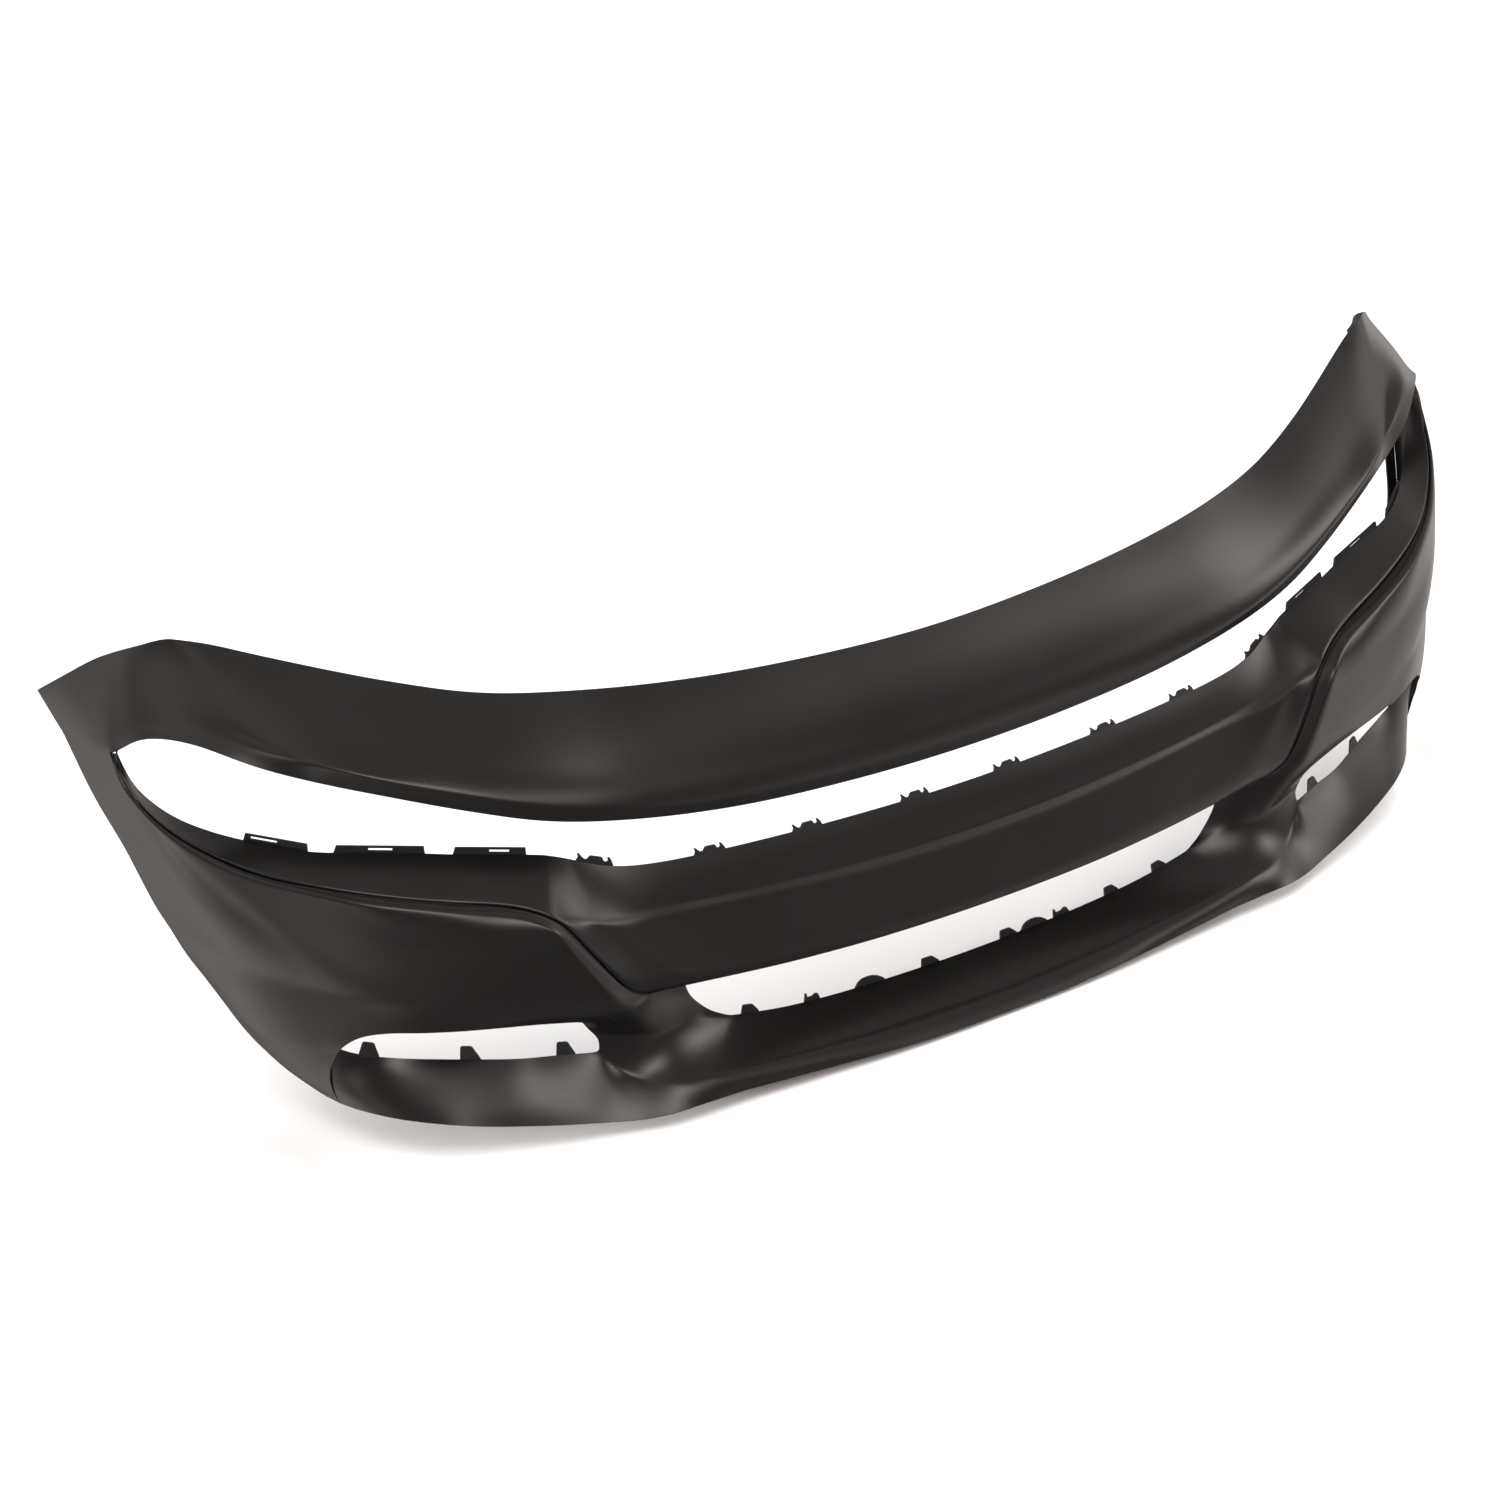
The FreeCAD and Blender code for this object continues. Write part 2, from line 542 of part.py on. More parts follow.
def lamp_tab(line, first, last, slot_first, slot_last):
    """A long low tab with a slot."""
    width = last - first
    low = (LAMP_TAB_HEIGHT - LAMP_SLOT_HEIGHT) / 2
    high = low + LAMP_SLOT_HEIGHT
    left = (slot_first - first) / width
    right = (slot_last - first) / width
    outline = [(0, 0), (1, 0), (0.97, LAMP_TAB_HEIGHT), (0.03, LAMP_TAB_HEIGHT)]
    slot = [(left, low), (right, low), (right, high), (left, high)]
    return upright_plate(point_at(line, first), point_at(line, last), outline, slot)


def shaped_tab(line, first, last, height, shares):
    """A small tab whose outline is given as shares of its width and height."""
    outline = [(share, rise * height) for share, rise in shares]
    return upright_plate(point_at(line, first), point_at(line, last), outline)


bar_top_line = full(bar_top)
add_node("grille_clips", [grille_clip(bar_top_line, centre) for centre in CLIP_CENTRES])

shelf_line = full(shelf_back)
grille_tabs = []
for places, shares in ((FIN_TABS, FIN_OUTLINE), (SPIKE_TABS, SPIKE_OUTLINE), (ROUND_TABS, ROUND_OUTLINE)):
    grille_tabs += [shaped_tab(shelf_line, first, last, GRILLE_TAB_HEIGHT, shares) for first, last in places]
add_node("lower_grille_tabs", grille_tabs)

for side, flip in (("right", 1), ("left", -1)):
    ledge_line = lamp_lower if flip > 0 else mirrored(lamp_lower)
    fog_line = fog_lower if flip > 0 else mirrored(fog_lower)
    lamp_tabs = []
    for first, last, slot_first, slot_last in LAMP_TABS:
        lamp_tabs.append(lamp_tab(ledge_line, *sorted((flip * first, flip * last)),
                                  *sorted((flip * slot_first, flip * slot_last))))
    add_node(side + "_lamp_tabs", lamp_tabs)
    add_node(side + "_fog_tabs", [shaped_tab(fog_line, *sorted((flip * first, flip * last)), FOG_TAB_HEIGHT,
                                             FIN_OUTLINE) for first, last in FOG_TABS])

for name, shape in nodes.items():
    shape.exportStep("parts/%s.step" % name)
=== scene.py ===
"""Front bumper cover: the looks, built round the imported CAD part. Lengths below are in millimetres
from the datum (near the middle of the centre bar's top edge) and become metres in the row frame."""
import math

import bpy
import numpy as np
from mathutils import Matrix, Vector


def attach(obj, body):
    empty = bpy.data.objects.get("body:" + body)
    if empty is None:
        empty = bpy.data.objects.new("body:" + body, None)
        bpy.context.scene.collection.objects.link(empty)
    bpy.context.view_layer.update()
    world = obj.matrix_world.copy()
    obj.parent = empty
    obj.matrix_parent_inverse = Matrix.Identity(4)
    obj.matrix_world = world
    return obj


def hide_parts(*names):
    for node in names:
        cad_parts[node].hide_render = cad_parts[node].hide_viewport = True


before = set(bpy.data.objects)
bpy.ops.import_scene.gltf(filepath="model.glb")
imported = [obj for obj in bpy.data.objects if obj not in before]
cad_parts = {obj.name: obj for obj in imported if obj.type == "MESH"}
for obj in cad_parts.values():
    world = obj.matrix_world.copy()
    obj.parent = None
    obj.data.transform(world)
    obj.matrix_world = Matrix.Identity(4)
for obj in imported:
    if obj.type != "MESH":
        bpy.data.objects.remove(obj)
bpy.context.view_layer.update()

WALL = 3.0
DATUM_HEIGHT = 270.0
DATUM_SETBACK = -172.3
MM = 0.001

# ---- Style lines of the +X half, from the middle outwards -----------------------------
HOOD_EDGE = [(0, 75, 171.5), (150, 80, 175.5), (300, 92, 186), (430, 113, 200), (540, 150, 213),
             (630, 189, 237), (700, 226, 259), (765, 262, 281), (805, 281, 296), (826, 288, 302)]
BAND_FOLD = [(0, 3.4, 55), (150, 5.5, 58.5), (300, 10, 70), (430, 21, 91), (525, 44, 114),
             (606, 71, 141), (664, 96, 161), (720, 123, 183), (754, 149, 194)]
BAND_LOWER_EDGE = [(0, 7.4, 40), (150, 9.5, 43.5), (300, 15, 55), (430, 26, 75), (520, 46, 93),
                   (600, 74, 118), (680, 108, 146), (730, 131, 164), (760, 145, 176)]
CORNER_FOLD = [(826, 288, 302), (813, 258, 275), (804, 229, 248), (792, 197, 220), (776, 174, 206),
               (754, 149, 194)]
FENDER_TOP_EDGE = [(826, 288, 302), (838, 300, 301), (857, 317, 293), (892, 375, 262),
                   (923, 413, 232), (945, 446, 206)]
LAMP_UPPER_EDGE = [(760, 145, 176), (805, 169, 196), (845, 200, 217), (880, 235, 222),
                   (903, 262, 213), (915, 277, 198)]
LAMP_CORNER = [(915, 277, 198), (922, 285, 193)]
CORNER_LOWER_LINE = [(922, 285, 193), (930, 320, 186), (935, 358, 179), (938, 392, 173)]

BAR_TOP_EDGE = [(0, 2, -3), (150, 5.5, -1), (300, 13, 5), (400, 23, 11), (450, 34, 18), (490, 50, 32)]
SHOULDER_TOP_EDGE = [(490, 50, 32), (505, 55, 38), (520, 62, 42)]
LAMP_LOWER_EDGE = [(520, 62, 42), (568, 79, 51), (610, 92, 58), (654, 107, 67), (699, 121, 76),
                   (756, 140, 86), (800, 168, 96), (851, 216, 109), (880, 247, 125),
                   (903, 268, 155), (915, 277, 198)]
BAR_CREASE = [(0, -23, -53), (150, -20, -50), (300, -11, -41), (400, -1, -34), (450, 1, -29),
              (488, -1, -22)]
SHOULDER_FOOT = [(488, -1, -22), (515, 4, -10), (540, 0, 0)]
BAR_LOWER_EDGE = [(0, -65, -131), (150, -60, -131), (260, -49, -130), (330, -41, -127),
                  (400, -31, -124), (444, -25, -123)]
GROOVE_DIAGONAL = [(540, 0, 0), (534, -4, -5), (523, -9, -19), (506, -17, -47), (487, -24, -77),
                   (472, -28, -99), (460, -28, -112), (444, -25, -123)]
GROOVE = [(540, 0, 0), (561, 12, 12), (590, 26, 21), (629, 44, 28), (690, 65, 44),
          (748, 89, 61), (785, 109, 72), (819, 135, 81), (859, 173, 100), (888, 208, 120),
          (907, 242, 143), (917, 268, 171), (916, 277, 194)]
PANEL_EDGE = [(552, -15, -3), (569, -4, 7), (598, 10, 17), (660, 30, 35), (741, 62, 56),
              (785, 92, 68), (822, 122, 77), (852, 152, 88), (880, 186, 105), (898, 212, 121),
              (912, 240, 141), (921, 266, 166), (922, 285, 193)]
PANEL_EDGE_DIAGONAL = [(552, -15, -3), (543, -22, -14), (529, -27, -39), (506, -35, -82),
                       (493, -37, -106), (483, -35, -124)]

UPPER_CREASE = [(538, -24, -24), (607, -2, -17), (667, 21, -9), (740, 55, 4), (800, 92, 14),
                (830, 122, 22), (862, 156, 34), (888, 197, 54), (905, 250, 70), (921, 305, 80)]
LOWER_CREASE = [(503, -35, -88), (560, -21, -88), (613, -6, -85), (675, 15, -75), (740, 48, -64),
                (802, 100, -50), (846, 150, -40), (869, 200, -34), (882, 235, -30), (891, 262, -28)]
PILLAR_HEAD = [(483, -35, -124), (505, -28, -129), (525, -18, -134)]
FOG_UPPER_EDGE = [(525, -18, -134), (569, -7, -127), (613, 3, -121), (657, 12, -114),
                  (700, 24, -107), (735, 42, -105), (762, 60, -112), (777, 72, -127)]
PANEL_LOWER_LINE = [(777, 72, -127), (814, 108, -129), (842, 148, -125), (855, 193, -113),
                    (864, 244, -96)]
FENDER_SEAM = [(945, 446, 206), (941.5, 418, 189), (938, 392, 173)]
FENDER_SEAM_MIDDLE = [(938, 392, 173), (935, 353, 140), (928, 320, 102), (921, 305, 80)]
FENDER_SEAM_LOWER = [(921, 305, 80), (917, 297, 66), (908, 279, 27), (896, 267, -16), (891, 262, -28)]
WHEEL_ARCH_UPPER = [(891, 262, -28), (879, 252, -63), (864, 244, -96)]
WHEEL_ARCH = [(864, 244, -96), (851, 230, -126), (837, 216, -158), (823, 200, -182), (814, 192, -194)]

OPENING_SIDE = [(382, 1, -146), (378, 0, -160), (366, -2, -177), (350, -5, -192), (330, -9, -202)]
SHELF_BACK_EDGE = [(0, -14, -229), (100, -14, -227), (200, -14, -221), (270, -13, -213),
                   (330, -9, -202)]
SHELF_END = [(330, -9, -202), (346, -28, -214), (362, -50, -224), (385, -71, -230)]
PILLAR_TOP = [(382, 1, -146), (410, -12, -134), (444, -25, -123)]
GROOVE_FOOT = [(444, -25, -123), (462, -34, -126), (483, -35, -124)]
FOG_INNER_EDGE = [(525, -18, -134), (514, -9, -152), (502, -10, -172), (503, -13, -186)]
FOG_OUTER_EDGE = [(777, 72, -127), (779, 77, -134)]
LIP_RIDGE = [(0, -76, -248), (150, -75, -245), (300, -75, -237), (385, -71, -230)]
LIP_RIDGE_FOOT = [(385, -71, -230), (438, -59, -226), (465, -41, -221), (488, -24, -207),
                  (503, -13, -186)]
FOG_LOWER_EDGE = [(503, -13, -186), (543, 2, -183), (588, 14, -178), (627, 33, -175),
                  (666, 52, -171), (710, 69, -163), (746, 80, -152), (766, 83, -142), (776, 82, -134)]
LIP_LOWER_EDGE = [(0, -104, -264.5), (94, -103, -264), (167, -100, -261), (237, -94, -259),
                  (300, -89, -256), (355, -84, -254)]
LIP_LOWER_FOOT = [(355, -84, -254), (405, -83, -252), (445, -80, -252), (478, -71, -253), (512, -60, -250)]
LIP_LOWER_END = [(512, -60, -250), (558, -46, -244), (603, -30, -238), (648, -11, -232),
                 (691, 9, -224), (730, 37, -219), (763, 74, -216), (776, 96, -215)]
LIP_CORNER_FRONT = [(779, 77, -134), (785, 86, -155), (786, 92, -172), (784, 95, -193), (776, 96, -215)]
LIP_OUTER_EDGE = [(776, 82, -134), (782, 91, -155), (784, 96, -172), (783, 97, -193), (776, 96, -215)]
LIP_CORNER_EDGE = [(776, 96, -215), (787, 122, -213), (797, 150, -208), (808, 180, -200),
                   (814, 192, -194)]

# ---- Lines and faces -------------------------------------------------------------------


def spline(points, spans):
    """Points at equal steps along a smooth line through the given points."""
    knots = [Vector(p) for p in points]
    before = knots[0] * 2 - knots[1]
    if knots[0].x == 0:
        before = Vector((-knots[1].x, knots[1].y, knots[1].z))
    padded = [before] + knots + [knots[-1] * 2 - knots[-2]]
    steps_per_knot = 24
    fine = []
    for a, b, c, d in zip(padded, padded[1:], padded[2:], padded[3:]):
        t1 = (b - a).length ** 0.5
        t2 = t1 + (c - b).length ** 0.5
        t3 = t2 + (d - c).length ** 0.5
        for k in range(steps_per_knot):
            t = t1 + (t2 - t1) * k / steps_per_knot
            ab = a * ((t1 - t) / t1) + b * (t / t1)
            bc = b * ((t2 - t) / (t2 - t1)) + c * ((t - t1) / (t2 - t1))
            cd = c * ((t3 - t) / (t3 - t2)) + d * ((t - t2) / (t3 - t2))
            abc = ab * ((t2 - t) / t2) + bc * (t / t2)
            bcd = bc * ((t3 - t) / (t3 - t1)) + cd * ((t - t1) / (t3 - t1))
            fine.append(abc * ((t2 - t) / (t2 - t1)) + bcd * ((t - t1) / (t2 - t1)))
    fine.append(knots[-1])
    return even_steps(fine, spans)


def even_steps(line, spans):
    """The same line cut into equal lengths."""
    lengths = [0.0]
    for a, b in zip(line, line[1:]):
        lengths.append(lengths[-1] + (b - a).length)
    result = []
    k = 0
    for s in range(spans + 1):
        target = lengths[-1] * s / spans
        while k < len(line) - 2 and lengths[k + 1] < target:
            k += 1
        share = (target - lengths[k]) / (lengths[k + 1] - lengths[k])
        result.append(line[k] + (line[k + 1] - line[k]) * share)
    return result


def joined(*lines):
    """Lines end to end, each starting where the last one stops."""
    result = list(lines[0])
    for line in lines[1:]:
        result += line[1:]
    return result


def mirrored(line):
    """The same line on the -X half, still running towards +X."""
    return [Vector((-p.x, p.y, p.z)) for p in reversed(line)]


def across_middle(line):
    """The same line on the -X half, still running downwards."""
    return [Vector((-p.x, p.y, p.z)) for p in line]


def full(line):
    """A line of the +X half that starts in the middle, drawn over the whole width."""
    return mirrored(line) + line[1:]


def face_between(top, bottom, left, right, crown=0.0, hold=1, roll=0.0):
    """A grid of points filling four lines; crown lifts its middle along the normal.

    The bow of the side lines dies away towards the middle, faster when hold is larger.
    Roll lifts the last row but one, so that the face turns over just before its lower line.
    """
    rows = len(left) - 1
    columns = len(top) - 1
    grid = []
    for i in range(rows + 1):
        v = i / rows
        row = []
        for j in range(columns + 1):
            u = j / columns
            left_bow = left[i] - top[0] * (1 - v) - bottom[0] * v
            right_bow = right[i] - top[-1] * (1 - v) - bottom[-1] * v
            down = top[j] * (1 - v) + bottom[j] * v
            row.append(down + left_bow * (1 - u) ** hold + right_bow * u ** hold)
        grid.append(row)
    if crown or roll:
        normals = grid_normals(grid)
        for i in range(1, rows):
            v = i / rows
            rise = crown * 4 * v * (1 - v)
            if i == rows - 1:
                rise += roll
            for j in range(1, columns):
                u = j / columns
                grid[i][j] = grid[i][j] + normals[i][j] * (rise * (1 - (2 * u - 1) ** 6))
    return grid


def grid_normals(grid):
    """Outward unit normals: rows run down the face and columns towards +X."""
    last_row = len(grid) - 1
    last_column = len(grid[0]) - 1
    normals = []
    for i in range(last_row + 1):
        row = []
        for j in range(last_column + 1):
            down = grid[min(i + 1, last_row)][j] - grid[max(i - 1, 0)][j]
            across = grid[i][min(j + 1, last_column)] - grid[i][max(j - 1, 0)]
            row.append(down.cross(across).normalized())
        normals.append(row)
    return normals


def mirrored_grid(grid):
    """The same face on the -X half."""
    return [mirrored(row) for row in grid]


# ---- The half's lines, cut into matching steps -----------------------------------------
hood = spline(HOOD_EDGE, 26)
fold = spline(BAND_FOLD, 26)
band_lower = spline(BAND_LOWER_EDGE, 26)
corner_fold = spline(CORNER_FOLD, 8)
fold_end = spline([fold[-1], band_lower[-1]], 2)
fender_top = spline(FENDER_TOP_EDGE, 15)
lamp_upper = spline(LAMP_UPPER_EDGE, 6)
lamp_corner = spline(LAMP_CORNER, 1)
corner_lower = spline(CORNER_LOWER_LINE, 8)

bar_top = spline(BAR_TOP_EDGE, 16)
bar_crease = spline(BAR_CREASE, 16)
shoulder_top = spline(SHOULDER_TOP_EDGE, 3)
shoulder_foot = spline(SHOULDER_FOOT, 3)
bar_lower = spline(BAR_LOWER_EDGE, 19)
lamp_lower = spline(LAMP_LOWER_EDGE, 24)
groove = spline(GROOVE, 24)
groove_diagonal = spline(GROOVE_DIAGONAL, 12)
panel_edge = spline(PANEL_EDGE, 24)
panel_diagonal = spline(PANEL_EDGE_DIAGONAL, 12)
groove_start = spline([groove[0], panel_edge[0]], 2)
groove_foot = spline(GROOVE_FOOT, 2)
groove_end = spline([groove[-1], panel_edge[-1]], 2)
ridge = spline([bar_top[-1], (489, 26, 6), bar_crease[-1]], 4)
valley = spline([shoulder_top[-1], (530, 33, 24), shoulder_foot[-1]], 4)
ledge_end = spline([lamp_lower[-1], groove[-1]], 4)

upper_crease = [panel_diagonal[3]] + spline(UPPER_CREASE, 32)[1:]
lower_crease = [panel_diagonal[8]] + spline(LOWER_CREASE, 32)[1:]
pillar_head = spline(PILLAR_HEAD, 3)
fog_upper = spline(FOG_UPPER_EDGE, 17)
panel_lower = spline(PANEL_LOWER_LINE, 12)
seam_top = spline(FENDER_SEAM, 10)
seam_middle = spline(FENDER_SEAM_MIDDLE, 3)
seam_lower = spline(FENDER_SEAM_LOWER, 5)
arch_upper = spline(WHEEL_ARCH_UPPER, 4)
arch = spline(WHEEL_ARCH, 8)

opening_side = spline(OPENING_SIDE, 6)
shelf_back = spline(SHELF_BACK_EDGE, 12)
shelf_end = spline(SHELF_END, 5)
pillar_top = spline(PILLAR_TOP, 4)
fog_inner = spline(FOG_INNER_EDGE, 11)
fog_outer = spline(FOG_OUTER_EDGE, 1)
lip_ridge = spline(LIP_RIDGE, 12)
lip_ridge_foot = spline(LIP_RIDGE_FOOT, 9)
fog_lower = spline(FOG_LOWER_EDGE, 16)
lip_lower = spline(LIP_LOWER_EDGE, 12)
lip_lower_foot = spline(LIP_LOWER_FOOT, 9)
lip_lower_end = spline(LIP_LOWER_END, 16)
lip_foot_end = spline([lip_ridge_foot[-1], (508, -34, -216), lip_lower_foot[-1]], 7)
corner_front = spline(LIP_CORNER_FRONT, 7)
lip_outer = spline(LIP_OUTER_EDGE, 7)
corner_edge = spline(LIP_CORNER_EDGE, 12)

# ---- The outer faces ---------------------------------------------------------------------
faces = {}


def add_full(name, grid):
    """A face over the whole width."""
    faces[name] = grid


def add_pair(name, grid):
    """A face of the +X half and its mirror image."""
    faces["right_" + name] = grid
    faces["left_" + name] = mirrored_grid(grid)


add_full("upper_band", face_between(full(hood), full(fold), across_middle(corner_fold), corner_fold,
                                    crown=7.0, hold=20, roll=2.0))
add_full("band_lower_return", face_between(full(fold), full(band_lower), across_middle(fold_end), fold_end))
add_pair("fender_corner", face_between(fender_top, joined(lamp_upper, lamp_corner, corner_lower),
                                       joined(corner_fold, fold_end), seam_top, crown=3.0, hold=4))
add_full("centre_bar_upper", face_between(full(bar_top), full(bar_crease), across_middle(ridge), ridge,
                                          crown=2.0, hold=3))
add_pair("bar_shoulder", face_between(shoulder_top, shoulder_foot, ridge, valley))
add_full("centre_bar_lower", face_between(full(joined(bar_crease, shoulder_foot)), full(bar_lower),
                                          across_middle(groove_diagonal), groove_diagonal, crown=-4.0))
add_pair("lamp_ledge", face_between(lamp_lower, groove, valley, ledge_end))
add_pair("lamp_step", face_between(groove, panel_edge, groove_start, groove_end))
add_pair("bar_end_step", face_between(groove_start, groove_foot, groove_diagonal, panel_diagonal))
add_pair("side_panel_upper", face_between(joined(panel_edge, corner_lower), upper_crease,
                                          panel_diagonal[:4], seam_middle, crown=2.0, hold=4))
add_pair("side_panel_middle", face_between(upper_crease, lower_crease, panel_diagonal[3:9], seam_lower,
                                           crown=2.2, hold=3))
add_pair("side_panel_lower", face_between(lower_crease, joined(pillar_head, fog_upper, panel_lower),
                                          panel_diagonal[8:], arch_upper, crown=1.2, hold=3))
add_pair("wheel_corner", face_between(panel_lower, corner_edge, joined(fog_outer, corner_front), arch))
add_pair("pillar", face_between(joined(pillar_top, groove_foot, pillar_head), lip_ridge_foot,
                                joined(opening_side, shelf_end), fog_inner))
add_full("chin_shelf", face_between(full(shelf_back), full(lip_ridge), across_middle(shelf_end), shelf_end,
                                    crown=-2.0, hold=5))
add_full("lip_face", face_between(full(joined(lip_ridge, lip_ridge_foot)),
                                  full(joined(lip_lower, lip_lower_foot)),
                                  across_middle(lip_foot_end), lip_foot_end, crown=3.0, hold=5))
add_pair("lip_end", face_between(fog_lower, lip_lower_end, lip_foot_end, lip_outer, crown=4.0))


# ---- One welded cage of every face, rounded as a whole -----------------------------------------
def place(point):
    """A point in millimetres from the datum, in metres in the row frame."""
    return (point.x * MM, (point.y + DATUM_SETBACK) * MM, (point.z + DATUM_HEIGHT) * MM)


cage_index = {}
cage_points = []
cage_faces = []
cage_owner = []
names = list(faces)


def cage_vertex(point):
    key = (round(point.x, 1), round(point.y, 1), round(point.z, 1))
    if key not in cage_index:
        cage_index[key] = len(cage_points)
        cage_points.append(place(point))
    return cage_index[key]


# The step round the panel starts with a narrow dark groove. Each profile point is a distance from the
# groove's line towards the panel edge, or a share of the way there, and a depth under the step.
GROOVE_DEPTH = 5.0
GROOVE_PROFILE = [(0.7, GROOVE_DEPTH), (2.9, GROOVE_DEPTH), (3.6, 0.8)]
STEP_PROFILE = [(0.35, -0.6), (0.65, -1.2)]
FADE_STEPS = 3
step_pairs = list(zip(reversed(groove), reversed(panel_edge)))
step_pairs += list(zip(groove_diagonal, panel_diagonal))[1:]


def step_sections():
    """Points across the step at each pair of the groove's line and the panel's edge."""
    sections = []
    last = len(step_pairs) - 1
    for k, (start, end) in enumerate(step_pairs):
        run = step_pairs[min(k + 1, last)][0] - step_pairs[max(k - 1, 0)][0]
        aside = end - start
        width = aside.length
        normal = aside.cross(run).normalized()
        if normal.y > 0:
            normal = -normal
        fade = min(1.0, k / FADE_STEPS, (last - k) / FADE_STEPS)
        section = [start]
        for distance, depth in GROOVE_PROFILE:
            share = min(distance / width, 0.3)
            section.append(start + aside * share - normal * depth * fade)
        for share, depth in STEP_PROFILE:
            section.append(start + aside * share - normal * depth * fade)
        section.append(end)
        sections.append(section)
    return sections


sections = step_sections()
# At its lower end the step has no groove and is only as wide as the groove's foot
sections[-1] = [groove_foot[0]] * 4 + [groove_foot[1]] * 2 + [groove_foot[2]]
across = len(sections[0])
top_sections = sections[:len(groove)][::-1]
end_sections = sections[len(groove) - 1:]
lamp_step_grid = [[section[k] for section in top_sections] for k in range(across)]
faces["right_lamp_step"] = lamp_step_grid
faces["left_lamp_step"] = mirrored_grid(lamp_step_grid)
faces["right_bar_end_step"] = end_sections
faces["left_bar_end_step"] = mirrored_grid(end_sections)
groove_lines = [[section[k] for section in sections] for k in range(across)]

for owner, name in enumerate(names):
    grid = faces[name]
    ids = [[cage_vertex(point) for point in row] for row in grid]
    for upper, lower in zip(ids, ids[1:]):
        for j in range(len(upper) - 1):
            corner_ids = [upper[j], lower[j], lower[j + 1], upper[j + 1]]
            corner_ids = list(dict.fromkeys(corner_ids))
            if len(corner_ids) > 2:
                cage_faces.append(corner_ids)
                cage_owner.append(owner)

SMOOTH_TURN = math.radians(30)  # an open edge that turns more than this at a point has a corner there


def edge_uses(polygons):
    """How many polygons use each edge; an open edge has one."""
    uses = {}
    for polygon in polygons:
        for a, b in zip(polygon, polygon[1:] + polygon[:1]):
            key = (min(a, b), max(a, b))
            uses[key] = uses.get(key, 0) + 1
    return uses


def held_out(points, polygons):
    """The points, with those along smooth open edges moved out by as much as rounding draws them in."""
    beside = {}
    for (a, b), count in edge_uses(polygons).items():
        if count == 1:
            beside.setdefault(a, []).append(b)
            beside.setdefault(b, []).append(a)
    moved = list(points)
    for vertex, ends in beside.items():
        if len(ends) != 2:
            continue
        here = Vector(points[vertex])
        before = here - Vector(points[ends[0]])
        after = Vector(points[ends[1]]) - here
        if before.angle(after) < SMOOTH_TURN:
            along = (before + after).normalized()
            drawn_in = (after - before) / 6
            drawn_in -= along * drawn_in.dot(along)
            moved[vertex] = tuple(here - drawn_in)
    return moved


cage_mesh = bpy.data.meshes.new("cage")
cage_mesh.from_pydata(held_out(cage_points, cage_faces), [], cage_faces)
owner_layer = cage_mesh.attributes.new("owner", "INT", "FACE")
owner_layer.data.foreach_set("value", cage_owner)
creases = {}


def crease(line, first, last=None):
    """Keeps a line sharp in the rounded skin, from one sharpness at its start to another at its end."""
    last = first if last is None else last
    for version in (line, mirrored(line)):
        shares = [k / (len(line) - 1) for k in range(len(line))]
        if version is not line:
            shares = shares[::-1]
        for k in range(len(version) - 1):
            a = cage_vertex(version[k])
            b = cage_vertex(version[k + 1])
            share = (shares[k] + shares[k + 1]) / 2
            creases[(min(a, b), max(a, b))] = first + (last - first) * share


crease(fold, 0.28, 0.3)
crease(corner_fold[::-1], 0.3, 0.0)
crease(bar_crease, 0.36, 0.36)
crease(shoulder_foot, 0.3, 0.3)
crease(ridge, 0.25, 0.4)
crease(valley, 0.36)
crease(groove_lines[0], 0.34)
crease(groove_lines[1], 0.9)
crease(groove_lines[2], 0.9)
crease(groove_lines[3], 0.6)
crease(panel_edge, 0.32, 0.2)
crease(panel_diagonal, 0.32, 0.0)
crease(upper_crease, 0.45, 0.15)
crease(lower_crease, 0.4, 0.1)
crease(lip_ridge, 0.25, 0.25)
crease(lip_ridge_foot, 0.25, 0.2)
crease(corner_front, 0.3)
crease(shelf_end, 0.35)
crease(groove_foot, 0.3)

edge_keys = np.zeros(len(cage_mesh.edges) * 2, int)
cage_mesh.edges.foreach_get("vertices", edge_keys)
edge_keys = edge_keys.reshape(-1, 2)
crease_layer = cage_mesh.attributes.new("crease_edge", "FLOAT", "EDGE")
crease_layer.data.foreach_set("value", [creases.get((min(a, b), max(a, b)), 0.0) for a, b in edge_keys])

ROUNDING_LEVELS = 2
cage = bpy.data.objects.new("cage", cage_mesh)
bpy.context.scene.collection.objects.link(cage)
rounding = cage.modifiers.new("rounding", "SUBSURF")
rounding.levels = ROUNDING_LEVELS
rounding.render_levels = ROUNDING_LEVELS
rounding.boundary_smooth = "PRESERVE_CORNERS"
graph = bpy.context.evaluated_depsgraph_get()
skin = bpy.data.meshes.new_from_object(cage.evaluated_get(graph))
bpy.data.objects.remove(cage)

skin_points = np.zeros(len(skin.vertices) * 3)
skin.vertices.foreach_get("co", skin_points)
skin_points = skin_points.reshape(-1, 3)
skin_normals = np.zeros(len(skin.vertices) * 3)
skin.vertex_normals.foreach_get("vector", skin_normals)
skin_normals = skin_normals.reshape(-1, 3)
skin_owner = np.zeros(len(skin.polygons), int)
skin.attributes["owner"].data.foreach_get("value", skin_owner)
skin_faces = [tuple(polygon.vertices) for polygon in skin.polygons]

